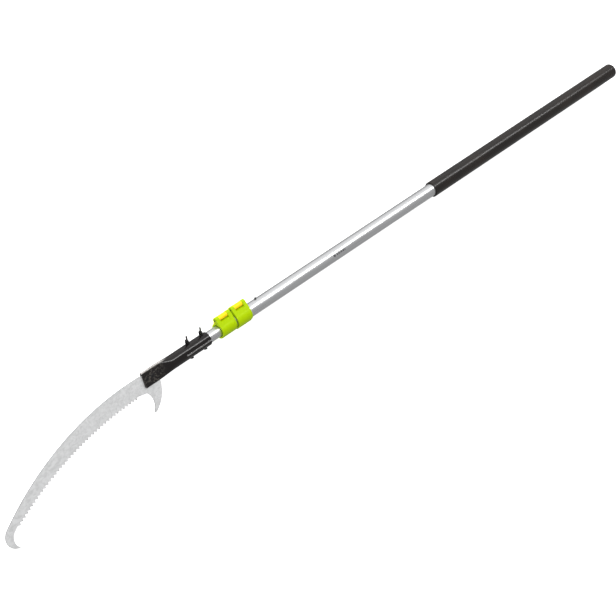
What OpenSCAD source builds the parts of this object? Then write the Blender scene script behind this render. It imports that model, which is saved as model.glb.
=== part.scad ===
// Telescoping pole saw: three nested aluminium tubes, two cam clamps, a rubber grip
// and a curved pruning blade held in a flattened steel socket.
// The pole lies along X with its butt end at the origin and the blade towards +X.
// The teeth face +Y, the spine and the cam levers face -Y, and the blade lies in the XY plane.

/* [Pole tubes] */
// Outside diameter of the outer tube
outer_d = 32; // [30:0.5:36]
// Wall thickness of every tube
tube_wall = 1.2; // [1:0.1:1.6]
// Radial air gap between one tube and the next
tube_gap = 0.3; // [0.3:0.05:0.6]
// Distance from the butt end to the front of the outer tube
outer_front = 1428; // [1000:1:1800]
// Bare middle tube showing between the two clamps
clamp_gap = 4.5; // [3:0.5:20]
// Bare inner tube showing between the front clamp and the socket
neck_len = 33; // [25:1:80]
// Distance from the butt end to the back of the middle tube
middle_back = 60; // [40:1:200]
// Distance from the butt end to the back of the inner tube
inner_back = 105; // [100:1:300]
// Distance from the butt end to the air hole in the outer tube
vent_x = 849; // [800:1:1000]
// Diameter of the air hole
vent_d = 3.2; // [2:0.1:5]

/* [Grip] */
// Thickness of the rubber grip around the outer tube
grip_t = 3.6; // [2.6:0.1:6]
// Distance from the butt end to the front of the grip
grip_front = 770; // [300:5:790]
// Thickness of the butt cap's flange
cap_t = 8; // [6:0.5:14]
// Rounding of the butt cap's rim
cap_round = 4; // [1:0.5:5]
// Length of the butt cap's plug inside the tube
cap_plug = 20; // [12:1:30]

/* [Clamps] */
// Length of one clamp collar along the pole
clamp_len = 42; // [38:1:60]
// Wall thickness of a clamp collar
clamp_wall = 3.9; // [3.5:0.1:6]
// Length of tube held in the back of a collar
clamp_hold = 24; // [18:1:26]
// Length of the thinner neck at the back of a collar
clamp_step = 4; // [2:0.5:6]
// Width of the slot that lets the collar close
clamp_split = 2.5; // [2:0.1:3]
// Length of each hinge knuckle
knuckle_len = 8.8; // [7:0.1:10]
// Radius of the hinge knuckles
knuckle_r = 6.5; // [6:0.1:7]
// Diameter of the lever's hinge pin
pin_d = 4; // [3:0.1:5]
// Thickness of the lever's curved shell
lever_t = 3; // [2.6:0.1:3.4]
// Angle that the shell reaches round the collar
lever_wrap = 79; // [60:1:81]
// Height of the finger tab at the lever's end
tab_h = 2.5; // [1.5:0.5:4]

/* [Socket] */
// Wall thickness of the socket
socket_wall = 2.9; // [2:0.1:3.5]
// Length of the whole socket
socket_len = 185; // [170:1:220]
// Length of the round part
socket_round = 104; // [96:1:108]
// Length of the pressed part between round and flat
socket_press = 41; // [35:1:44]
// Width of the flat part across the blade
flat_w = 39; // [36:0.5:44]
// Corner cut off the flat end on the tooth side
flat_cut = 4; // [2:0.5:8]
// Width of the clamping slits
slit_w = 3; // [1.5:0.1:3.5]
// Length of the clamping slits up to their round ends
slit_len = 70; // [66:1:72]
// Diameter of the round hole that ends each slit
slit_hole = 5; // [4:0.1:6]

/* [Blade] */
// Blade thickness
blade_t = 1.5; // [1.2:0.1:2]
// Distance that the blade reaches past the socket
blade_reach = 412; // [380:1:440]
// Radius of the curved spine
spine_r = 604; // [560:1:700]
// Height of the spine above the pole's axis
spine_h = 14.2; // [12:0.1:15]
// Depth of the tooth line below the pole's axis at the root
tooth_line = 30.5; // [28:0.1:33]
// Radius of the curve through the tooth tips
tooth_r = 706; // [680:1:760]
// Number of teeth
tooth_n = 42; // [30:1:56]
// Tooth depth
tooth_h = 6; // [4:0.1:6.5]
// Radius of the outer curve of the tip hook
tip_r = 29; // [26:0.5:32]
// Radius of the inner curve of the base hook
hook_in_r = 39; // [36:0.5:42]
// Radius of the back of the base hook
hook_out_r = 69; // [67:0.5:71]
// Length of the tang held inside the socket
tang_len = 62; // [60:1:64]
// Width of the tang
tang_w = 28; // [24:0.5:30]

/* [Fasteners] */
// Diameter of the two clamping bolts
bolt_d = 5; // [5:0.5:6]
// Distance from the socket's mouth to the first bolt
bolt_in = 11.5; // [10:0.5:16]
// Spacing of the two clamping bolts
bolt_pitch = 40; // [34:0.5:44]
// Bolt head size across flats
head_af = 8; // [8:0.5:10]
// Bolt head height
head_h = 3.5; // [3:0.1:5]
// Washer diameter
washer_d = 10; // [9.5:0.5:12.5]
// Washer thickness
washer_t = 1; // [0.8:0.1:1.6]
// Wing nut span
wing_span = 23; // [20:0.5:28]
// Wing nut height
wing_h = 13; // [10:0.5:15]
// Height of the wing nut's round hub
hub_h = 6; // [5:0.5:8]
// Thickness of the wings
wing_t = 3; // [2:0.1:3.6]
// Angle of the wings at rest
wing_turn = 45; // [0:1:90]
// Diameter of the blade rivets
blade_rivet_d = 5; // [4:0.1:6]
// Distance from the flat end to the first blade rivet
blade_rivet_in = 10; // [8:0.5:14]
// Spacing of the two blade rivets
blade_rivet_pitch = 15; // [14:0.5:20]
// Diameter of the collar rivets
collar_rivet_d = 4; // [3:0.1:4.8]
// Diameter of the stop stud's head
stud_d = 4.8; // [4:0.1:7]
// Height of the stop stud's head
stud_h = 3.3; // [2:0.1:5]
// Distance from the back of the rear clamp to the stop stud
stud_back = 32; // [20:1:60]

/* [Fits] */
// Radial clearance of a sliding or turning fit
run_gap = 0.05; // [0.03:0.01:0.08]
// Radial clearance of parts that are bonded or bolted together
seat_gap = 0.05; // [0.02:0.01:0.1]
// Radial clearance of the guide plugs in the tube they slide in
guide_gap = 0.08; // [0.05:0.01:0.1]
// Side clearance of a lever between its knuckles
lever_gap = 0.4; // [0.3:0.05:0.8]
// Face clearance under a wing nut
turn_gap = 0.1; // [0.05:0.01:0.2]

/* [Hidden] */
$fn = 96;
eps = 0.01;
// Tube radii, each worked out from the tube around it
outer_r = outer_d / 2;
outer_bore = outer_r - tube_wall;
middle_r = outer_bore - tube_gap;
middle_bore = middle_r - tube_wall;
inner_r = middle_bore - tube_gap;
inner_bore = inner_r - tube_wall;
// Places along the pole
rear_clamp_x = outer_front - clamp_hold;
front_clamp_x = rear_clamp_x + clamp_len + clamp_gap;
middle_front = front_clamp_x + clamp_hold;
mouth_x = front_clamp_x + clamp_len + neck_len;
bolt_x = [mouth_x + bolt_in, mouth_x + bolt_in + bolt_pitch];
inner_front = mouth_x + socket_round - 4;
flat_x = mouth_x + socket_round + socket_press;
end_x = mouth_x + socket_len;
rivet_x = [end_x - blade_rivet_in, end_x - blade_rivet_in - blade_rivet_pitch];
stud_x = rear_clamp_x - stud_back;
socket_r = inner_r + seat_gap + socket_wall;
blade_slot = blade_t + 2 * seat_gap;
flat_t = blade_slot + 2 * socket_wall;
bush_len = clamp_len - clamp_hold;
grip_r = outer_r + grip_t;
guide_len = 8;
guide_stem = 22;
rivet_head = 1.3;
hub_r = bolt_d / 2 + 1.8;
collar_rivet_head_r = collar_rivet_d * 0.85;
// Depth of the flat seat under the head of a collar rivet
rivet_seat = 0.3;
// Share of the web's outer face that is cut away in front of the lever's barrel
wall_at = 0.44;
// Hinge line of a lever above the middle of its pole
function hinge_h(own_r) = own_r + clamp_wall + 7.4;
// Centre of the lever shell's curve, which hugs the far side of the collar
shell_c = [-4.6, 0.8];
function shell_in(own_r) = own_r + clamp_wall + 2.2;
shell_from = 107;
// Depth of the friction sleeve behind the front face of its collar
bush_sunk = 1.5;

// Points along a circular arc, both ends included
function arc(c, r, a0, a1, n) =
    [for (i = [0 : n]) c + r * [cos(a0 + (a1 - a0) * i / n), sin(a0 + (a1 - a0) * i / n)]];

// Round bar or tube along the pole
module along(x0, x1, r) {
    translate([x0, 0, 0]) rotate([0, 90, 0]) cylinder(r = r, h = x1 - x0);
}

module pipe(x0, x1, r_out, r_in) {
    difference() {
        along(x0, x1, r_out);
        along(x0 - 1, x1 + 1, r_in);
    }
}

// Extrude a YZ outline along the pole
module section(x0, x1) {
    translate([x0, 0, 0]) rotate([90, 0, 90]) linear_extrude(x1 - x0) children();
}

// Cylinder across the pole: towards the tooth side for positive lengths
module across(x, y0, y1, r, sides = 96) {
    translate([x, y0, 0]) rotate([-90, 0, 0]) cylinder(r = r, h = y1 - y0, $fn = sides);
}

// Shallow domed rivet head that stands on the plane z = 0
module rivet_dome(r, h) {
    cap_r = (r * r + h * h) / (2 * h);
    rotate_extrude()
        polygon(concat([[0, 0]], arc([0, h - cap_r], cap_r, 90 - asin(r / cap_r), 90, 10)));
}

// ---- pole tubes ----

module outer_tube() {
    color("silver") difference() {
        pipe(cap_t, outer_front, outer_r, outer_bore);
        across(vent_x, -outer_r - 1, 0, vent_d / 2);
        across(stud_x, -outer_r - 1, 0, collar_rivet_d / 2);
        collar_rivet_holes(rear_clamp_x);
    }
}

module middle_tube() {
    color("silver") difference() {
        pipe(middle_back, middle_front, middle_r, middle_bore);
        collar_rivet_holes(front_clamp_x);
    }
}

module inner_tube() {
    color("silver") difference() {
        pipe(inner_back, inner_front, inner_r, inner_bore);
        for (x = bolt_x) across(x, -20, 20, bolt_d / 2 + seat_gap);
    }
}

// Plug with a flange that keeps the back of one tube centred in the next
module guide(back, stem_r, flange_r) {
    difference() {
        union() {
            along(back - guide_len, back, flange_r);
            along(back - eps, back + guide_stem, stem_r);
        }
        along(back - guide_len - 1, back + guide_stem + 1, 4);
    }
}

module middle_guide() {
    color("dimgray") guide(middle_back, middle_bore - seat_gap, outer_bore - guide_gap);
}

module inner_guide() {
    color("dimgray") guide(inner_back, inner_bore - seat_gap, middle_bore - guide_gap);
}

// ---- grip ----

module grip_sleeve() {
    bore = outer_r + seat_gap;
    color([0.16, 0.15, 0.14]) translate([cap_t, 0, 0]) rotate([0, 90, 0]) rotate_extrude()
        polygon([
            [bore, 0], [grip_r, 0], [grip_r, grip_front - cap_t - 1.2],
            [grip_r - 1.2, grip_front - cap_t], [bore, grip_front - cap_t]
        ]);
}

module butt_cap() {
    flange = concat(
        [[0, 0]],
        arc([grip_r - cap_round, cap_round], cap_round, -90, 0, 12),
        [[grip_r, cap_t], [0, cap_t]]
    );
    color([0.16, 0.15, 0.14]) {
        rotate([0, 90, 0]) rotate_extrude() polygon(flange);
        along(cap_t - eps, cap_t + cap_plug, outer_bore - seat_gap);
    }
}

// Stud riveted through the wall of the outer tube
module stop_stud() {
    color([0.08, 0.08, 0.09]) {
        across(stud_x, -outer_r - stud_h, -outer_r, stud_d / 2);
        across(stud_x, -outer_r - eps, -outer_bore - 0.1, collar_rivet_d / 2 - seat_gap);
    }
}

// ---- clamps, drawn for the tube they are fixed to ----

// Middle of the two rivets that fix a collar to its own tube
function rivet_in(clamp_x) = clamp_x + 7;

// Place a rivet on the tooth side and one on the underside, each pointing out of the pole
module at_collar_rivets(clamp_x) {
    for (a = [0, -90]) translate([rivet_in(clamp_x), 0, 0]) rotate([a, 0, 0]) children();
}

module collar_rivet_holes(clamp_x) {
    at_collar_rivets(clamp_x) across(0, 0, outer_d, collar_rivet_d / 2);
}

module collar(clamp_x, own_r) {
    ring_r = own_r + clamp_wall;
    hinge = hinge_h(own_r);
    front = clamp_x + clamp_len;
    half = clamp_split / 2;
    // the outer face of the web runs from the knuckles to the ring, almost tangent to both
    web = acos((ring_r - knuckle_r) / hinge);
    web_dir = [-cos(web), sin(web)];
    web_knuckle = [-hinge, 0] + (knuckle_r - 0.15) * web_dir;
    web_ring = (ring_r - 0.25) * web_dir;
    // the wall between the knuckles lies a hair under the outer face of the web
    wall_ring = web_ring - 0.2 * web_dir;
    wall_top = web_knuckle + wall_at * (web_ring - web_knuckle) - 0.2 * web_dir;
    color([0.72, 0.86, 0.0]) difference() {
        union() {
            along(clamp_x, clamp_x + clamp_step + eps, ring_r - 1.2);
            along(clamp_x + clamp_step, front, ring_r);
            for (x = [clamp_x, front - knuckle_len]) section(x, x + knuckle_len) {
                translate([-hinge, 0]) circle(knuckle_r);
                polygon([[-hinge, half], web_knuckle, web_ring, [2 - ring_r, half]]);
            }
            section(clamp_x + eps, front - eps)
                polygon([[2 - ring_r, half], wall_ring, wall_top, [-ring_r - 0.5, half]]);
            section(clamp_x + knuckle_len, front - knuckle_len)
                polygon([
                    [-ring_r - 4, -6.2], [3 - ring_r, -6.2],
                    [6 - ring_r, -10.5], [-ring_r - 2, -9.2], [-ring_r - 4, -8.2]
                ]);
        }
        along(clamp_x - 1, front + 1, own_r + seat_gap);
        translate([front - bush_len - 3, -ring_r - 0.8, -half])
            cube([bush_len + 4, ring_r, clamp_split]);
        translate([clamp_x - 1, -hinge, 0]) rotate([0, 90, 0])
            cylinder(d = pin_d, h = clamp_len + 2);
        collar_rivet_holes(clamp_x);
        at_collar_rivets(clamp_x)
            across(0, ring_r - rivet_seat, outer_d, collar_rivet_head_r + seat_gap);
    }
}

// Slit friction sleeve in front of the fixed tube
module bush(clamp_x, own_r, slide_r) {
    x0 = clamp_x + clamp_hold;
    color([0.2, 0.2, 0.22]) difference() {
        pipe(x0, clamp_x + clamp_len - bush_sunk, own_r, slide_r + run_gap);
        translate([x0 - 1, -own_r - 1, -1]) cube([bush_len + 2, own_r, 2]);
    }
}

// Over-centre lever: a barrel on the hinge pin, a cam pad and a shell round the collar
module lever(clamp_x, own_r) {
    ring_r = own_r + clamp_wall;
    hinge = hinge_h(own_r);
    in_r = shell_in(own_r);
    out_r = in_r + lever_t;
    x0 = clamp_x + knuckle_len + lever_gap;
    x1 = clamp_x + clamp_len - knuckle_len - lever_gap;
    web_out = shell_c + out_r * [-sin(shell_from), cos(shell_from)];
    web_in = shell_c + in_r * [-sin(shell_from), cos(shell_from)];
    end = shell_from + lever_wrap;
    color([0.95, 0.8, 0.1]) difference() {
        union() {
            section(x0, x1) {
                translate([-hinge, 0]) circle(knuckle_r - 0.9);
                polygon([
                    [-hinge - knuckle_r + 0.9, 0], [-hinge - knuckle_r + 0.8, -2.5],
                    web_out + [0.3, 0.3], web_out + [0.6, -1],
                    web_in + [-0.6, -1.4], web_in + [0.7, 0.2], [-hinge + 1.5, -4.5]
                ]);
                polygon([
                    [-ring_r - 4.6, -9.9], [-ring_r - 3.2, -12.4],
                    [-ring_r - 0.6, -12.2], [-ring_r - 0.9, -10]
                ]);
            }
            translate([x0 + 0.4, shell_c[0], shell_c[1]]) rotate([90, 0, 90]) {
                rotate([0, 0, 90 + shell_from]) rotate_extrude(angle = lever_wrap)
                    translate([in_r, 0]) square([lever_t, x1 - x0 - 0.8]);
                rotate([0, 0, 90 + end]) translate([in_r + 1, -2.6, 0.5])
                    cube([lever_t - 1 + tab_h, 3, x1 - x0 - 1.8]);
            }
        }
        translate([x0 - 1, -hinge, 0]) rotate([0, 90, 0])
            cylinder(r = pin_d / 2 + run_gap, h = x1 - x0 + 2);
    }
}

module hinge_pin(clamp_x, own_r) {
    color([0.15, 0.15, 0.16]) translate([0, -hinge_h(own_r), 0])
        along(clamp_x - 0.5, clamp_x + clamp_len + 0.5, pin_d / 2);
}

module collar_rivets(clamp_x, own_r, bore_r) {
    ring_r = own_r + clamp_wall;
    color([0.7, 0.7, 0.72]) at_collar_rivets(clamp_x) {
        across(0, bore_r + 0.1, ring_r, collar_rivet_d / 2);
        translate([0, ring_r - rivet_seat, 0]) rotate([-90, 0, 0])
            rivet_dome(collar_rivet_head_r, rivet_head);
    }
}

module rear_collar() { collar(rear_clamp_x, outer_r); }
module rear_bush() { bush(rear_clamp_x, outer_r, middle_r); }
module rear_lever() { lever(rear_clamp_x, outer_r); }
module rear_hinge_pin() { hinge_pin(rear_clamp_x, outer_r); }
module rear_collar_rivets() { collar_rivets(rear_clamp_x, outer_r, outer_bore); }
module front_collar() { collar(front_clamp_x, middle_r); }
module front_bush() { bush(front_clamp_x, middle_r, inner_r); }
module front_lever() { lever(front_clamp_x, middle_r); }
module front_hinge_pin() { hinge_pin(front_clamp_x, middle_r); }
module front_collar_rivets() { collar_rivets(front_clamp_x, middle_r, middle_bore); }

// ---- saw head ----

// Slab with round long edges, drawn across the pole
module slab(x0, x1, w, t) {
    section(x0, x1) {
        square([w - t, t], center = true);
        for (s = [-1, 1]) translate([s * (w - t) / 2, 0]) circle(t / 2, $fn = 48);
    }
}

// Steel tube with one end pressed flat over the blade's tang
module head_socket() {
    press_x = mouth_x + socket_round;
    open_x = end_x - tang_len + 6;
    // tiny lip where the pressed part starts
    press_lip = 0.15;
    color([0.1, 0.1, 0.11]) difference() {
        union() {
            along(mouth_x, press_x, socket_r);
            hull() {
                along(press_x - 1, press_x, socket_r - press_lip);
                slab(flat_x, flat_x + eps, flat_w, flat_t);
            }
            slab(flat_x, end_x, flat_w, flat_t);
        }
        along(mouth_x - 1, press_x, inner_r + seat_gap);
        hull() {
            along(press_x - 1, press_x, inner_r + seat_gap - press_lip);
            translate([flat_x, -tang_w / 2, -blade_slot / 2]) cube([eps, tang_w, blade_slot]);
        }
        translate([end_x - tang_len - 1, -spine_h - 0.5, -blade_slot / 2])
            cube([socket_len, spine_h + 0.5 + tang_w / 2 + seat_gap, blade_slot]);
        translate([open_x - 14, 0, -blade_slot / 2]) cube([socket_len, flat_w, blade_slot]);
        translate([mouth_x - 1, -slit_w / 2, -socket_r - 1])
            cube([slit_len + 1, slit_w, 2 * socket_r + 2]);
        translate([mouth_x + slit_len, 0, -socket_r - 1])
            cylinder(d = slit_hole, h = 2 * socket_r + 2);
        for (x = bolt_x) across(x, -socket_r - 1, socket_r + 1, bolt_d / 2 + seat_gap);
        for (x = rivet_x) translate([x, 0, -flat_t])
            cylinder(r = blade_rivet_d / 2 + seat_gap, h = 2 * flat_t);
        translate([end_x, flat_w / 2, 0]) rotate([0, 0, 45])
            cube([flat_cut * sqrt(2), flat_cut * sqrt(2), 2 * flat_t], center = true);
    }
}

// Hexagon bolts with their heads on the tooth side
module socket_bolts() {
    color([0.12, 0.12, 0.13]) for (x = bolt_x) {
        across(x, -socket_r - washer_t - wing_h + 4, socket_r + eps, bolt_d / 2);
        across(x, socket_r, socket_r + head_h, head_af / sqrt(3), 6);
    }
}

module bolt_washers() {
    color([0.14, 0.14, 0.15]) for (x = bolt_x) difference() {
        across(x, -socket_r - washer_t, -socket_r, washer_d / 2);
        across(x, -socket_r - 4, 0, bolt_d / 2 + seat_gap);
    }
}

// One wing of a wing nut as an upright outline that leans outwards
module wing_outline(side) {
    polygon([
        [side * 2, 1.5], [side * 5.4, 0.8], [side * (wing_span / 2 - 0.5), wing_h - 5],
        [side * (wing_span / 2), wing_h - 3], [side * 7.5, wing_h - 0.6], [side * 2, hub_h - 0.5]
    ]);
    translate([side * (wing_span / 2 - 2.8), wing_h - 2.8]) circle(2.8, $fn = 48);
}

module wing_nut(x) {
    base = socket_r + washer_t + turn_gap;
    color([0.1, 0.1, 0.11]) translate([x, -base, 0]) rotate([90, 0, 0]) difference() {
        union() {
            cylinder(r1 = hub_r + 0.4, r2 = hub_r, h = hub_h);
            rotate([0, 0, wing_turn]) rotate([90, 0, 0]) for (s = [-1, 1])
                translate([0, 0, -wing_t / 2]) linear_extrude(wing_t) wing_outline(s);
        }
        translate([0, 0, -1]) cylinder(r = bolt_d / 2 + run_gap, h = wing_h + 2);
    }
}

module rear_wing_nut() { wing_nut(bolt_x[0]); }
module front_wing_nut() { wing_nut(bolt_x[1]); }

// Outline of the blade, drawn from the end of the socket
module blade_outline() {
    spine_c = [32, spine_r - spine_h];
    tooth_c = [25, tooth_line + tooth_r];
    root_r = tooth_r + tooth_h;
    // the tip's outer curve is tangent to the spine
    tip_a = asin((blade_reach - tip_r - spine_c[0]) / (spine_r - tip_r));
    tip_c = spine_c + (spine_r - tip_r) * [sin(tip_a), -cos(tip_a)];
    tip_in_r = tip_r - 4;
    tip_in_c = tip_c + [-13, 9];
    hook_c = [29, 56];
    back_c = [28.5, 22];
    tooth_end = asin((tip_c[0] - 9 - tooth_c[0]) / tooth_r);
    pitch = tooth_end / tooth_n;
    teeth = [
        for (i = [tooth_n - 1 : -1 : 0]) each [
            tooth_c + root_r * [sin((i + 1) * pitch), -cos((i + 1) * pitch)],
            tooth_c + tooth_r * [sin((i + 0.3) * pitch), -cos((i + 0.3) * pitch)]
        ]
    ];
    polygon(concat(
        [[-tang_len, -tang_w / 2], [-20, -tang_w / 2]],
        arc(spine_c, spine_r, -94, tip_a - 90, 40),
        arc(tip_c, tip_r, tip_a - 86, 78, 16),
        arc(tip_in_c, tip_in_r, 50, -46, 14),
        teeth,
        [tooth_c + [0, -root_r], [10, tooth_line - 2.6]],
        arc(hook_c, hook_in_r, 222, 143, 14),
        arc(back_c, hook_out_r, 122, 181, 14),
        [[-42, tang_w / 2], [-tang_len, tang_w / 2]]
    ));
}

module saw_blade() {
    color([0.82, 0.82, 0.83]) difference() {
        translate([end_x, 0, -blade_t / 2]) linear_extrude(blade_t) blade_outline();
        for (x = rivet_x) translate([x, 0, -blade_t])
            cylinder(r = blade_rivet_d / 2 + seat_gap, h = 2 * blade_t);
    }
}

module blade_rivets() {
    color([0.15, 0.15, 0.15]) for (x = rivet_x) translate([x, 0, 0]) {
        cylinder(d = blade_rivet_d, h = flat_t + rivet_head / 2, center = true);
        for (s = [0, 1]) mirror([0, 0, s]) translate([0, 0, flat_t / 2])
            rivet_dome(blade_rivet_d * 0.9, rivet_head);
    }
}

outer_tube();
grip_sleeve();
butt_cap();
stop_stud();
rear_collar();
rear_bush();
rear_lever();
rear_hinge_pin();
rear_collar_rivets();
middle_tube();
middle_guide();
front_collar();
front_bush();
front_lever();
front_hinge_pin();
front_collar_rivets();
inner_tube();
inner_guide();
head_socket();
socket_bolts();
bolt_washers();
front_wing_nut();
rear_wing_nut();
saw_blade();
blade_rivets();
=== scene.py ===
"""Looks of a telescoping pole saw: fine pieces, materials, light and camera.

Everything is in metres. The pole lies along +X with its butt end at the origin, the teeth face +Y,
the levers and wing nuts face -Y, and the side that faces up in the picture is +Z.
"""

import math

import bmesh
import bpy
from mathutils import Matrix, Vector


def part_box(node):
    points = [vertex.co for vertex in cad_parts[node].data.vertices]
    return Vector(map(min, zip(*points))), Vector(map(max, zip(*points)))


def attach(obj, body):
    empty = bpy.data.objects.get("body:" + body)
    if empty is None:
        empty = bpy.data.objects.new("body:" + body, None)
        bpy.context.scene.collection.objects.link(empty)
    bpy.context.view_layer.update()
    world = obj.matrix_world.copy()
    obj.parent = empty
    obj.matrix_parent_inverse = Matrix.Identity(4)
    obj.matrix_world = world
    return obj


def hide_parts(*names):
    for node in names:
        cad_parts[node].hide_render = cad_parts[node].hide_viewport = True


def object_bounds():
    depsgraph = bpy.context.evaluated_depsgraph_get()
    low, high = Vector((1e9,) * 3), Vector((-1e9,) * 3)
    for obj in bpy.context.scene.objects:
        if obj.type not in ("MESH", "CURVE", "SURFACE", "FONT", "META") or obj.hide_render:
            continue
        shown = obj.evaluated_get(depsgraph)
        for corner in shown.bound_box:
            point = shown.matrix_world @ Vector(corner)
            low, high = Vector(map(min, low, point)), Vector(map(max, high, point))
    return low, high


MM = 0.001

# ---- camera ----
CAMERA_AT = Vector((3.0875, -1.3569, 2.3733))
CAMERA_AIM = Vector((1.2368, 0.0803, 0.0))
CAMERA_UP = Vector((-0.4698, -0.8683, -0.1590))
CAMERA_LENS = 85.0

# ---- floor and light ----
FLOOR_SIZE = 60.0
FLOOR_DROP = 0.4 * MM
FLOOR_GLOW = 0.8
KEY_TURN = math.radians(46)  # from straight up towards the spine side
KEY_FAR = 3.2
KEY_LONG = 9.0
KEY_WIDE = 0.5
KEY_POWER = 165.0
ROOM_GREY = 0.42
WALL_WHITE = 1.05  # the bright wall on the spine side
WALL_EDGE = (0.56, 0.68)  # how squarely a direction points at the wall, where the wall begins and is full

# ---- blade ----
TOOTH_SET = 0.28 * MM  # how far a tooth tip leans out of the blade
TOOTH_FACE = 3 * MM  # how far the ground face of a tooth runs back from its tip
SHARP_CORNER = math.radians(115)  # a corner of the outline sharper than this is the tip of a tooth

# ---- socket ----
SOCKET_WALL = 2.9 * MM
ROUND_LEN = 104 * MM
PRESS_LEN = 41 * MM
FLAT_T = 7.4 * MM
SLOT_T = 1.6 * MM
SLOT_DEEP = 76 * MM  # length of the slot for the blade on the tooth side
SLIT_W = 3 * MM
SLIT_LEN = 70 * MM
SLIT_HOLE = 5 * MM
CORNER_CUT = 4 * MM  # the cut corner beside the teeth
TANG_HALF_W = 14.3 * MM
TANG_DEEP = 69 * MM  # length of the room for the tang
BOLT_HOLE_R = 2.55 * MM
SPINE_HIGHLIGHT_W = 3.2 * MM  # width of the painted highlight strip along the spine edge
DENT_DEEP = 14.0  # how much deeper the dents of the pressed end are than the orange peel
BARE_LINE = 0.03 * MM  # how far the bare metal of the slit reaches round its edges
RING_POINTS = 96  # points round the socket
PRESS_RINGS = 28  # rings from round to flat

# ---- plastic ----
PAINTED_FILL_GLOW = 0.16  # how strongly the plastic glows as painted light that brightens its shaded side

# ---- printed mark ----
MARK_X = 1.115
MARK_HALF_LEN = 19 * MM
MARK_HALF_W = 2.3 * MM
MARK_TURN = math.radians(15.6)  # from straight up towards the spine side
BAR_WAVES = 900.0  # radians per metre of the wave that makes the bars
BAR_LEVEL = -0.45  # the wave prints ink above this level
BAR_SHIFT = 4.5 * MM  # how far the row of bars sits from the middle of the mark
DOT_IN = 2 * MM  # from the end of the mark to the middle of the dot
DOT_SIZE = 1.3  # radius of the dot in half widths of the mark


class Paint:
    """A node material, built one node at a time. Patterns use object coordinates, which are in metres."""

    def __init__(self, name):
        self.material = bpy.data.materials.new(name)
        self.material.use_nodes = True
        self.tree = self.material.node_tree
        self.shader = self.tree.nodes["Principled BSDF"]
        self.coords = self.node("ShaderNodeTexCoord").outputs["Object"]

    def node(self, kind, **settings):
        made = self.tree.nodes.new(kind)
        for key, value in settings.items():
            setattr(made, key, value)
        return made

    def feed(self, socket, value):
        """Links an output to an input, or sets the input to a number."""
        if isinstance(value, bpy.types.NodeSocket):
            self.tree.links.new(value, socket)
        else:
            socket.default_value = value

    def fix(self, **values):
        """Sets shader inputs that are the same all over; the names use _ for a space."""
        for key, value in values.items():
            self.shader.inputs[key.replace("_", " ")].default_value = value
        return self

    def stretched(self, scale):
        mapping = self.node("ShaderNodeMapping")
        self.feed(mapping.inputs["Vector"], self.coords)
        mapping.inputs["Scale"].default_value = scale
        return mapping.outputs["Vector"]

    def noise(self, scale, detail=4.0, rough=0.55, twist=0.0):
        """Noise from 0 to 1. scale is in cells per metre along X, Y and Z."""
        made = self.node("ShaderNodeTexNoise")
        self.feed(made.inputs["Vector"], self.stretched(scale))
        made.inputs["Scale"].default_value = 1.0
        made.inputs["Detail"].default_value = detail
        made.inputs["Roughness"].default_value = rough
        made.inputs["Distortion"].default_value = twist
        return made.outputs["Fac"]

    def cells(self, scale, feature="F1"):
        made = self.node("ShaderNodeTexVoronoi", feature=feature)
        self.feed(made.inputs["Vector"], self.stretched(scale))
        made.inputs["Scale"].default_value = 1.0
        return made.outputs["Distance"]

    def math(self, operation, a, b=0.0):
        made = self.node("ShaderNodeMath", operation=operation)
        self.feed(made.inputs[0], a)
        self.feed(made.inputs[1], b)
        return made.outputs[0]

    def span(self, value, low, high, to_low=0.0, to_high=1.0):
        """Maps low..high to to_low..to_high, clamped."""
        made = self.node("ShaderNodeMapRange")
        self.feed(made.inputs["Value"], value)
        made.inputs["From Min"].default_value = low
        made.inputs["From Max"].default_value = high
        made.inputs["To Min"].default_value = to_low
        made.inputs["To Max"].default_value = to_high
        return made.outputs["Result"]

    def mix(self, factor, a, b):
        made = self.node("ShaderNodeMix", data_type="RGBA")
        self.feed(made.inputs["Factor"], factor)
        for key, value in (("A", a), ("B", b)):
            socket = [s for s in made.inputs if s.name == key and s.type == "RGBA"][0]
            self.feed(socket, value if isinstance(value, bpy.types.NodeSocket) else (*value, 1.0))
        return [s for s in made.outputs if s.type == "RGBA"][0]

    def split(self):
        """The X, Y and Z of the object coordinates."""
        made = self.node("ShaderNodeSeparateXYZ")
        self.feed(made.inputs[0], self.coords)
        return made.outputs

    def rounded(self, radius):
        """The surface normal with sharp edges rounded off."""
        made = self.node("ShaderNodeBevel", samples=4)
        made.inputs["Radius"].default_value = radius
        return made.outputs["Normal"]

    def edge(self, rounded, strength=0.16):
        """1 along sharp edges, 0 on open faces."""
        flat = self.node("ShaderNodeNewGeometry").outputs["Normal"]
        made = self.node("ShaderNodeVectorMath", operation="DOT_PRODUCT")
        self.feed(made.inputs[0], rounded)
        self.feed(made.inputs[1], flat)
        return self.span(made.outputs["Value"], 1.0 - 0.02, 1.0 - strength)

    def steep(self, level, upright):
        """0 on faces that lie flat in the plane of the floor, 1 on faces that stand up from it."""
        parts = self.node("ShaderNodeSeparateXYZ")
        self.feed(parts.inputs[0], self.node("ShaderNodeNewGeometry").outputs["Normal"])
        return self.span(self.math("ABSOLUTE", parts.outputs["Z"]), level, upright)

    def bump(self, height, strength, depth, normal=None):
        made = self.node("ShaderNodeBump")
        self.feed(made.inputs["Height"], height)
        made.inputs["Strength"].default_value = strength
        made.inputs["Distance"].default_value = depth
        if normal is not None:
            self.feed(made.inputs["Normal"], normal)
        return made.outputs["Normal"]

    def finish(self, colour, roughness, normal):
        self.feed(self.shader.inputs["Base Color"], colour)
        self.feed(self.shader.inputs["Roughness"], roughness)
        self.feed(self.shader.inputs["Normal"], normal)
        return self.material


# ---- materials ----


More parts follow.
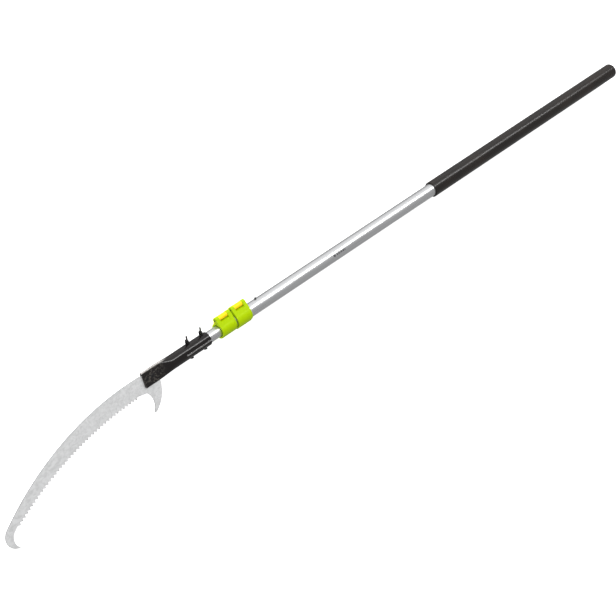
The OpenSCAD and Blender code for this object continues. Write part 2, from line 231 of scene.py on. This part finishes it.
def printed_mark(paint):
    """A generic printed mark on the outer tube: a dot and a row of short bars. 1 where there is ink."""
    x, y, z = paint.split()
    across = paint.math("ADD", paint.math("MULTIPLY", y, math.cos(MARK_TURN)),
                        paint.math("MULTIPLY", z, math.sin(MARK_TURN)))
    above = paint.math("GREATER_THAN", z, 0.0)
    along = paint.math("SUBTRACT", x, MARK_X)
    inside = paint.math("LESS_THAN", paint.math("ABSOLUTE", across), MARK_HALF_W)
    bars = paint.math("GREATER_THAN", paint.math("SINE", paint.math("MULTIPLY", along, BAR_WAVES)), BAR_LEVEL)
    bar_zone = paint.math("LESS_THAN", paint.math("ABSOLUTE", paint.math("ADD", along, BAR_SHIFT)),
                          MARK_HALF_LEN - BAR_SHIFT)
    row = paint.math("MULTIPLY", paint.math("MULTIPLY", bars, bar_zone), inside)
    dot_x = paint.math("SUBTRACT", along, MARK_HALF_LEN - DOT_IN)
    dot_far = paint.math("SQRT", paint.math("ADD", paint.math("MULTIPLY", dot_x, dot_x),
                                            paint.math("MULTIPLY", across, across)))
    dot = paint.math("LESS_THAN", dot_far, MARK_HALF_W * DOT_SIZE)
    return paint.math("MULTIPLY", paint.math("MAXIMUM", row, dot), above)


def aluminium_tube(marked):
    paint = Paint("aluminium_tube_marked" if marked else "aluminium_tube_plain")
    drawn = paint.noise((5.0, 850.0, 850.0), detail=5.0)
    cloud = paint.noise((9.0, 60.0, 60.0), detail=3.0)
    scuffs = paint.noise((160.0, 700.0, 700.0), detail=6.0, rough=0.7, twist=0.6)
    colour = paint.mix(drawn, (0.60, 0.61, 0.62), (0.76, 0.765, 0.775))
    colour = paint.mix(paint.span(scuffs, 0.66, 0.78, 0.0, 0.5), colour, (0.42, 0.42, 0.43))
    roughness = paint.math("ADD", paint.span(drawn, 0.3, 0.7, 0.24, 0.34), paint.span(cloud, 0.35, 0.7, 0.0, 0.06))
    metal = 1.0
    if marked:
        ink = printed_mark(paint)
        colour = paint.mix(ink, colour, (0.05, 0.05, 0.055))
        metal = paint.math("SUBTRACT", 1.0, ink)
        roughness = paint.math("ADD", roughness, paint.math("MULTIPLY", ink, 0.25))
    normal = paint.bump(drawn, 0.22, 0.02 * MM, paint.rounded(0.35 * MM))
    paint.feed(paint.shader.inputs["Metallic"], metal)
    return paint.finish(colour, roughness, normal)


def rivet_aluminium():
    paint = Paint("rivet_aluminium").fix(Metallic=1.0)
    dents = paint.noise((900.0, 900.0, 900.0), detail=5.0)
    colour = paint.mix(dents, (0.50, 0.50, 0.51), (0.74, 0.74, 0.75))
    rounded = paint.rounded(0.3 * MM)
    normal = paint.bump(dents, 0.4, 0.05 * MM, rounded)
    return paint.finish(colour, paint.span(dents, 0.3, 0.7, 0.28, 0.5), normal)


def grip_rubber():
    """Dark brown-black rubber with a fine leathery grain."""
    paint = Paint("grip_rubber").fix(Specular_IOR_Level=0.34)
    mottle = paint.noise((230.0, 330.0, 330.0), detail=5.0, rough=0.65, twist=0.4)
    patches = paint.noise((14.0, 30.0, 30.0), detail=3.0)
    grain = paint.cells((620.0, 760.0, 760.0))
    fine = paint.noise((2400.0, 2400.0, 2400.0), detail=3.0)
    colour = paint.mix(mottle, (0.005, 0.004, 0.0035), (0.014, 0.0115, 0.010))
    colour = paint.mix(paint.span(patches, 0.42, 0.7, 0.0, 0.55), colour, (0.020, 0.014, 0.011))
    rounded = paint.rounded(0.6 * MM)
    worn = paint.edge(rounded)
    colour = paint.mix(paint.math("MULTIPLY", worn, 0.5), colour, (0.055, 0.050, 0.045))
    roughness = paint.math("ADD", paint.span(mottle, 0.3, 0.7, 0.20, 0.28), paint.span(patches, 0.3, 0.7, 0.0, 0.06))
    height = paint.math("ADD", grain, paint.math("MULTIPLY", fine, 0.35))
    normal = paint.bump(height, 0.25, 0.12 * MM, rounded)
    return paint.finish(colour, roughness, normal)


def dark_plastic(name, low, high):
    paint = Paint(name)
    mottle = paint.noise((420.0, 420.0, 420.0), detail=4.0)
    fine = paint.noise((3200.0, 3200.0, 3200.0), detail=2.0)
    rounded = paint.rounded(0.4 * MM)
    colour = paint.mix(mottle, low, high)
    colour = paint.mix(paint.math("MULTIPLY", paint.edge(rounded), 0.4), colour, (0.09, 0.09, 0.09))
    normal = paint.bump(fine, 0.25, 0.04 * MM, rounded)
    return paint.finish(colour, paint.span(mottle, 0.3, 0.7, 0.42, 0.6), normal)


def moulded(name, deep, bright, worn_colour):
    """Coloured satin plastic with flow marks, a fine spark-eroded grain and paler rubbed edges.

    The faint emission is painted light, a glow that keeps the shaded side bright.
    """
    # painted light: the emission brightens the shaded side of the plastic
    paint = Paint(name).fix(Specular_IOR_Level=0.08, Emission_Color=(*bright, 1.0), Emission_Strength=PAINTED_FILL_GLOW)
    flow = paint.noise((35.0, 120.0, 120.0), detail=4.0, twist=0.8)
    speckle = paint.noise((1500.0, 1500.0, 1500.0), detail=3.0)
    scratch = paint.noise((1300.0, 90.0, 90.0), detail=6.0, rough=0.7)
    rounded = paint.rounded(0.55 * MM)
    colour = paint.mix(flow, deep, bright)
    colour = paint.mix(paint.span(scratch, 0.68, 0.78, 0.0, 0.25), colour, worn_colour)
    colour = paint.mix(paint.math("MULTIPLY", paint.edge(rounded), 0.45), colour, worn_colour)
    roughness = paint.math("ADD", paint.span(flow, 0.3, 0.7, 0.34, 0.44), paint.span(speckle, 0.3, 0.7, 0.0, 0.08))
    normal = paint.bump(speckle, 0.22, 0.06 * MM, rounded)
    return paint.finish(colour, roughness, normal)


def black_steel():
    """Black zinc plated bolts and nuts, with fine thread rings across the shank."""
    paint = Paint("black_steel").fix(Metallic=0.6, Specular_IOR_Level=0.5)
    stain = paint.noise((500.0, 500.0, 500.0), detail=5.0)
    rounded = paint.rounded(0.35 * MM)
    colour = paint.mix(stain, (0.008, 0.008, 0.009), (0.026, 0.025, 0.025))
    colour = paint.mix(paint.math("MULTIPLY", paint.edge(rounded), 0.45), colour, (0.16, 0.15, 0.15))
    normal = paint.bump(stain, 0.3, 0.05 * MM, rounded)
    return paint.finish(colour, paint.span(stain, 0.3, 0.7, 0.32, 0.5), normal)


def socket_black(low, high):
    """Semi-gloss powder coat on pressed steel between two corners.

    The coat has a painted highlight along the spine edge, is dented where the tube is pressed flat and is cut
    through in the slit.
    """
    paint = Paint("socket_black").fix(Specular_IOR_Level=0.36)
    peel = paint.noise((520.0, 520.0, 520.0), detail=2.0)
    cloud = paint.noise((45.0, 90.0, 90.0), detail=5.0, rough=0.6, twist=0.5)
    scratch = paint.noise((90.0, 1500.0, 900.0), detail=6.0, rough=0.75, twist=0.3)
    rounded = paint.rounded(0.5 * MM)
    colour = paint.mix(cloud, (0.004, 0.003, 0.003), (0.010, 0.008, 0.008))
    colour = paint.mix(paint.span(scratch, 0.66, 0.76, 0.0, 0.5), colour, (0.040, 0.034, 0.032))
    colour = paint.mix(paint.math("MULTIPLY", paint.edge(rounded), 0.55), colour, (0.16, 0.14, 0.13))
    x, y, _ = paint.split()
    in_slit = paint.math("LESS_THAN", paint.math("ABSOLUTE", y), SLIT_W / 2 + BARE_LINE)
    bare = paint.math("MULTIPLY", in_slit, paint.math("LESS_THAN", x, low.x + SLIT_LEN))
    colour = paint.mix(bare, colour, (0.25, 0.245, 0.24))
    # painted highlight: a pale, patchy strip along the spine edge stands in for a reflection of the key light
    spine = paint.span(y, low.y + SPINE_HIGHLIGHT_W, low.y + SPINE_HIGHLIGHT_W / 4)
    spine_highlight = paint.math("MULTIPLY", spine, paint.span(cloud, 0.38, 0.6, 0.5, 0.95))
    colour = paint.mix(spine_highlight, colour, (0.50, 0.48, 0.46))
    dents = paint.noise((150.0, 210.0, 210.0), detail=3.0, twist=0.7)
    flat_zone = paint.span(x, low.x + ROUND_LEN + PRESS_LEN / 2, low.x + ROUND_LEN + PRESS_LEN)
    dented = paint.math("MULTIPLY", flat_zone, paint.span(dents, 0.50, 0.62, 0.0, 0.75))
    colour = paint.mix(dented, colour, (0.085, 0.078, 0.068))
    height = paint.math("ADD", peel, paint.math("MULTIPLY", paint.math("MULTIPLY", dents, flat_zone), DENT_DEEP))
    roughness = paint.math("ADD", paint.span(cloud, 0.3, 0.7, 0.13, 0.18), paint.span(scratch, 0.6, 0.78, 0.0, 0.12))
    normal = paint.bump(height, 0.16, 0.08 * MM, rounded)
    return paint.finish(colour, roughness, normal)


def blade_steel():
    """Satin steel: grinding lines across the blade, faint oil clouds and painted shade on the edge and tooth faces.
    """
    paint = Paint("blade_steel").fix(Metallic=0.45)
    ground = paint.noise((1900.0, 45.0, 45.0), detail=6.0, rough=0.7)
    cloud = paint.noise((95.0, 120.0, 120.0), detail=5.0, rough=0.7, twist=0.9)
    pits = paint.noise((1100.0, 1100.0, 1100.0), detail=4.0)
    rounded = paint.rounded(0.15 * MM)
    colour = paint.mix(ground, (0.80, 0.805, 0.81), (0.95, 0.955, 0.96))
    colour = paint.mix(paint.span(cloud, 0.38, 0.62, 0.0, 0.8), colour, (0.66, 0.665, 0.665))
    colour = paint.mix(paint.span(pits, 0.68, 0.78, 0.0, 0.4), colour, (0.30, 0.29, 0.28))
    # painted shade: faces that stand up from the blade's plane are painted dark
    colour = paint.mix(paint.steep(0.99, 0.95), colour, (0.10, 0.10, 0.105))
    roughness = paint.math("ADD", paint.span(ground, 0.3, 0.7, 0.34, 0.46), paint.span(cloud, 0.3, 0.7, 0.0, 0.08))
    normal = paint.bump(ground, 0.25, 0.03 * MM, rounded)
    return paint.finish(colour, roughness, normal)


def floor_white():
    paint = Paint("floor_white").fix(Specular_IOR_Level=0.1)
    paper = paint.noise((40.0, 40.0, 40.0), detail=3.0)
    paint.fix(Emission_Color=(1.0, 1.0, 1.0, 1.0), Emission_Strength=FLOOR_GLOW)
    colour = paint.mix(paper, (0.88, 0.88, 0.88), (0.90, 0.90, 0.90))
    return paint.finish(colour, 0.9, paint.bump(paper, 0.05, 0.1 * MM))


# ---- pieces ----


def new_piece(name, build, body, slot, material, *replaced):
    """Turns a bmesh into a piece that rides on a body and stands for CAD nodes."""
    mesh = bpy.data.meshes.new(name)
    build.normal_update()
    build.to_mesh(mesh)
    build.free()
    piece = bpy.data.objects.new(name, mesh)
    bpy.context.scene.collection.objects.link(piece)
    mesh.materials.append(material)
    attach(piece, body)
    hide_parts(*replaced)
    return piece


def outline_of(node):
    """The outer edge of a flat plate's top face, in order, as 2-D points."""
    source = bmesh.new()
    source.from_mesh(node.data)
    bmesh.ops.remove_doubles(source, verts=source.verts, dist=0.001 * MM)
    top = max(v.co.z for v in source.verts)
    upper = [f for f in source.faces if all(abs(v.co.z - top) < 0.01 * MM for v in f.verts)]
    rim = {}
    for face in upper:
        for loop in face.loops:
            shared = [f for f in loop.edge.link_faces if f in upper]
            if len(shared) == 1:
                rim[loop.vert.co.to_tuple(7)] = loop.link_loop_next.vert.co.to_tuple(7)
    loops = []
    while rim:
        start, at = next(iter(rim.items()))
        ring = [start]
        del rim[start]
        while at != start:
            ring.append(at)
            at = rim.pop(at)
        loops.append([Vector(p[:2]) for p in ring])
    source.free()
    return max(loops, key=len)


def corner(outline, i):
    """The inside angle at a corner of an outline that runs anticlockwise."""
    here = outline[i]
    back = outline[i - 1] - here
    on = outline[(i + 1) % len(outline)] - here
    return on.angle_signed(back) % (2 * math.pi) if back.length and on.length else math.pi


def saw_blade(material):
    """The blade as a plate whose teeth are ground on alternate faces and set to alternate sides."""
    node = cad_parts["saw_blade"]
    low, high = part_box("saw_blade")
    outline = outline_of(node)
    area = sum(a.x * b.y - b.x * a.y for a, b in zip(outline, outline[1:] + outline[:1]))
    if area < 0:
        outline.reverse()
    angles = [corner(outline, i) for i in range(len(outline))]
    if sum(angles) > math.pi * len(outline):
        angles = [2 * math.pi - a for a in angles]
    count = len(outline)
    tips = [
        i for i in range(count)
        if angles[i] < SHARP_CORNER and angles[i - 1] > math.pi and angles[(i + 1) % count] > math.pi
    ]
    build = bmesh.new()
    body = [i for i in range(count) if i not in tips]
    upper = {i: build.verts.new((*outline[i], high.z)) for i in body}
    lower = {i: build.verts.new((*outline[i], low.z)) for i in body}
    build.faces.new([upper[i] for i in body])
    build.faces.new([lower[i] for i in reversed(body)])
    for i in body:
        after = (i + 1) % count
        if after in tips:
            continue
        build.faces.new([lower[i], lower[after], upper[after], upper[i]])
    for number, i in enumerate(tips):
        before, after = i - 1 if i else count - 1, (i + 1) % count
        root = (outline[before] + outline[after]) / 2
        tip = outline[i]
        inward = tip + (root - tip).normalized() * TOOTH_FACE
        up_side = number % 2 == 0
        lean = TOOTH_SET if up_side else -TOOTH_SET
        top_at, low_at = (tip, inward) if up_side else (inward, tip)
        top = build.verts.new((*top_at, high.z + max(lean, 0.0)))
        bottom = build.verts.new((*low_at, low.z + min(lean, 0.0)))
        build.faces.new([upper[before], upper[after], top][::-1])
        build.faces.new([lower[before], lower[after], bottom])
        build.faces.new([lower[before], bottom, top, upper[before]])
        build.faces.new([bottom, lower[after], upper[after], top])
    bmesh.ops.recalc_face_normals(build, faces=build.faces)
    return new_piece("ground_blade", build, "saw_head", "blade_steel", material, "saw_blade")


def ring(build, x, half_w, half_t):
    """A closed ring across the pole: two straight sides joined by half circles."""
    straight = max(half_w - half_t, 0.0)
    made = []
    for i in range(RING_POINTS):
        turn = 2 * math.pi * (i + 0.5) / RING_POINTS
        side = 1 if math.cos(turn) > 0 else -1
        made.append(build.verts.new((x, side * straight + half_t * math.cos(turn), half_t * math.sin(turn))))
    return made


def loft(sections):
    """A closed solid through rings (x, half width, half thickness)."""
    build = bmesh.new()
    rings = [ring(build, *s) for s in sections]
    for a, b in zip(rings, rings[1:]):
        for i in range(RING_POINTS):
            j = (i + 1) % RING_POINTS
            build.faces.new([a[i], a[j], b[j], b[i]])
    build.faces.new(rings[0][::-1])
    build.faces.new(rings[-1])
    bmesh.ops.recalc_face_normals(build, faces=build.faces)
    return build


def block(build, low, high):
    """Adds a box between two corners."""
    made = bmesh.ops.create_cube(build, size=1.0)["verts"]
    low, high = Vector(low), Vector(high)
    for v in made:
        v.co = (low + high) / 2 + Vector(a * b for a, b in zip(v.co, high - low))


def drill(build, at, radius, half_len, axis):
    """Adds a cylinder along Y or Z."""
    turn = Matrix.Rotation(math.pi / 2, 4, "X") if axis == "Y" else Matrix.Identity(4)
    bmesh.ops.create_cone(build, cap_ends=True, segments=48, radius1=radius, radius2=radius,
                          depth=2 * half_len, matrix=Matrix.Translation(at) @ turn)


def carve(solid, cutters):
    """Takes the cutters out of the solid and returns the result as a bmesh."""
    blanks = []
    for i, build in enumerate([solid, *cutters]):
        mesh = bpy.data.meshes.new(f"carving_{i}")
        build.to_mesh(mesh)
        build.free()
        made = bpy.data.objects.new(f"carving_{i}", mesh)
        bpy.context.scene.collection.objects.link(made)
        blanks.append(made)
    for cutter in blanks[1:]:
        step = blanks[0].modifiers.new("cut", "BOOLEAN")
        step.operation = "DIFFERENCE"
        step.solver = "EXACT"
        step.object = cutter
    bpy.context.view_layer.update()
    done = blanks[0].evaluated_get(bpy.context.evaluated_depsgraph_get())
    result = bmesh.new()
    result.from_mesh(done.to_mesh())
    done.to_mesh_clear()
    for made in blanks:
        mesh = made.data
        bpy.data.objects.remove(made)
        bpy.data.meshes.remove(mesh)
    return result


def head_socket(material):
    """The steel socket: a round tube that is pressed flat over the blade, with a slit on each face."""
    low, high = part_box("head_socket")
    bolts = sorted({round(sum(c.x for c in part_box(n)) / 2, 5) for n in ("front_wing_nut", "rear_wing_nut")})
    outer_r = (high.z - low.z) / 2
    bore_r = outer_r - SOCKET_WALL
    half_w = (high.y - low.y) / 2
    press_x = low.x + ROUND_LEN
    flat_x = press_x + PRESS_LEN
    outer, inner = [(low.x, outer_r, outer_r)], [(low.x - MM, bore_r, bore_r)]
    for i in range(PRESS_RINGS + 1):
        u = i / PRESS_RINGS
        soft = u * u * (3 - 2 * u)
        x = press_x + PRESS_LEN * u
        outer.append((x, outer_r + (half_w - outer_r) * soft, outer_r + (FLAT_T / 2 - outer_r) * soft))
        inner.append((x, bore_r + (TANG_HALF_W - bore_r) * soft, bore_r + (SLOT_T / 2 - bore_r) * soft))
    outer.append((high.x, half_w, FLAT_T / 2))
    inner.append((high.x + MM, TANG_HALF_W, SLOT_T / 2))
    blade_slot = bmesh.new()
    block(blade_slot, (high.x - SLOT_DEEP, 0, -SLOT_T / 2), (high.x + MM, half_w + MM, SLOT_T / 2))
    tang_room = bmesh.new()
    block(tang_room, (high.x - TANG_DEEP, -TANG_HALF_W, -SLOT_T / 2), (high.x + MM, TANG_HALF_W, SLOT_T / 2))
    slits = bmesh.new()
    block(slits, (low.x - MM, -SLIT_W / 2, -outer_r - MM), (low.x + SLIT_LEN, SLIT_W / 2, outer_r + MM))
    holes = bmesh.new()
    drill(holes, (low.x + SLIT_LEN, 0, 0), SLIT_HOLE / 2, outer_r + MM, "Z")
    for x in bolts:
        drill(holes, (x, 0, 0), BOLT_HOLE_R, outer_r + MM, "Y")
    edge = bmesh.new()
    block(edge, (-CORNER_CUT, -CORNER_CUT, -FLAT_T), (CORNER_CUT, CORNER_CUT, FLAT_T))
    bmesh.ops.transform(edge, verts=edge.verts,
                        matrix=Matrix.Translation((high.x, half_w, 0)) @ Matrix.Rotation(math.pi / 4, 4, "Z")
                        @ Matrix.Scale(math.sqrt(0.5), 4))
    build = carve(loft(outer), [loft(inner), blade_slot, tang_room, slits, holes, edge])
    piece = new_piece("pressed_socket", build, "saw_head", "socket_black", material, "head_socket")
    soften(piece, 32)
    return piece


def soften(piece, degrees):
    """Smooth shading, with edges sharper than the angle kept crisp."""
    mesh = piece.data
    mesh.polygons.foreach_set("use_smooth", [True] * len(mesh.polygons))
    mesh.set_sharp_from_angle(angle=math.radians(degrees))


# ---- scene ----


def dress(node, material):
    """Gives a CAD node its material."""
    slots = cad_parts[node].data.materials
    for i in range(len(slots)):
        slots[i] = material


def make_camera():
    back = (CAMERA_AT - CAMERA_AIM).normalized()
    right = CAMERA_UP.cross(back).normalized()
    up = back.cross(right)
    data = bpy.data.cameras.new("camera")
    data.lens = CAMERA_LENS
    data.sensor_width = 36.0
    data.clip_start = 0.05
    data.clip_end = 200.0
    camera = bpy.data.objects.new("camera", data)
    bpy.context.scene.collection.objects.link(camera)
    turn = Matrix((right, up, back)).transposed().to_4x4()
    camera.matrix_world = Matrix.Translation(CAMERA_AT) @ turn
    bpy.context.scene.camera = camera


def make_floor(lowest):
    build = bmesh.new()
    bmesh.ops.create_grid(build, x_segments=8, y_segments=8, size=FLOOR_SIZE / 2)
    mesh = bpy.data.meshes.new("floor")
    build.to_mesh(mesh)
    build.free()
    floor = bpy.data.objects.new("floor", mesh)
    bpy.context.scene.collection.objects.link(floor)
    floor.location.z = lowest - FLOOR_DROP
    floor.visible_glossy = False
    mesh.materials.append(floor_white())


def make_light(middle):
    key = bpy.data.lights.new("key", "AREA")
    key.shape = "RECTANGLE"
    key.size = KEY_LONG
    key.size_y = KEY_WIDE
    key.energy = KEY_POWER
    lamp = bpy.data.objects.new("key", key)
    bpy.context.scene.collection.objects.link(lamp)
    out = Vector((0, -math.sin(KEY_TURN), math.cos(KEY_TURN)))
    side = Vector((1, 0, 0))
    lamp.matrix_world = Matrix.Translation(middle + out * KEY_FAR) @ Matrix(
        (side, out.cross(side), out)).transposed().to_4x4()
    lamp.visible_camera = False
    world = bpy.data.worlds.new("studio")
    world.use_nodes = True
    tree = world.node_tree
    direction = tree.nodes.new("ShaderNodeTexCoord").outputs["Generated"]
    parts = tree.nodes.new("ShaderNodeSeparateXYZ")
    wall = tree.nodes.new("ShaderNodeMapRange")
    wall.interpolation_type = "SMOOTHSTEP"
    wall.inputs["From Min"].default_value = -WALL_EDGE[0]
    wall.inputs["From Max"].default_value = -WALL_EDGE[1]
    wall.inputs["To Min"].default_value = ROOM_GREY
    wall.inputs["To Max"].default_value = WALL_WHITE
    tree.links.new(direction, parts.inputs[0])
    tree.links.new(parts.outputs["Y"], wall.inputs["Value"])
    tree.links.new(wall.outputs["Result"], tree.nodes["Background"].inputs["Strength"])
    tree.nodes["Background"].inputs["Color"].default_value = (1.0, 1.0, 1.0, 1.0)
    bpy.context.scene.world = world
    bpy.context.scene.view_settings.view_transform = "Standard"


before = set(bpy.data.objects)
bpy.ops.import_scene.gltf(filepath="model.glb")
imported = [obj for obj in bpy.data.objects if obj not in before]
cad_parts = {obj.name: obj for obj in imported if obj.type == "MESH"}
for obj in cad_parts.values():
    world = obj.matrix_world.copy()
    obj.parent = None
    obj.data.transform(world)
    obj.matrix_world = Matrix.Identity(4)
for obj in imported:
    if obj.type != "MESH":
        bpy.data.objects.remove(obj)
cad_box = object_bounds()

tube = aluminium_tube(marked=False)
rivets = rivet_aluminium()
rubber = grip_rubber()
plastic = dark_plastic("black_plastic", (0.012, 0.012, 0.013), (0.035, 0.034, 0.034))
nylon = dark_plastic("bush_black", (0.004, 0.004, 0.004), (0.014, 0.014, 0.014))
green = moulded("clamp_green", (0.29, 0.435, 0.0), (0.33, 0.48, 0.0), (0.58, 0.78, 0.03))
yellow = moulded("lever_yellow", (0.86, 0.50, 0.01), (0.93, 0.64, 0.02), (0.95, 0.76, 0.20))
steel = black_steel()
MATERIALS = {
    "outer_tube": aluminium_tube(marked=True),
    "middle_tube": tube,
    "inner_tube": tube,
    "grip_sleeve": rubber,
    "butt_cap": rubber,
    "stop_stud": plastic,
    "middle_guide": nylon,
    "inner_guide": nylon,
    "socket_bolts": steel,
    "bolt_washers": steel,
    "front_wing_nut": steel,
    "rear_wing_nut": steel,
    "blade_rivets": steel,
}
for place in ("rear", "front"):
    MATERIALS[f"{place}_collar"] = green
    MATERIALS[f"{place}_bush"] = nylon
    MATERIALS[f"{place}_lever"] = yellow
    MATERIALS[f"{place}_hinge_pin"] = steel
    MATERIALS[f"{place}_collar_rivets"] = rivets
for node_name, coat in MATERIALS.items():
    dress(node_name, coat)
saw_blade(blade_steel())
head_socket(socket_black(*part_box("head_socket")))

make_floor(cad_box[0].z)
make_light((cad_box[0] + cad_box[1]) / 2)
make_camera()
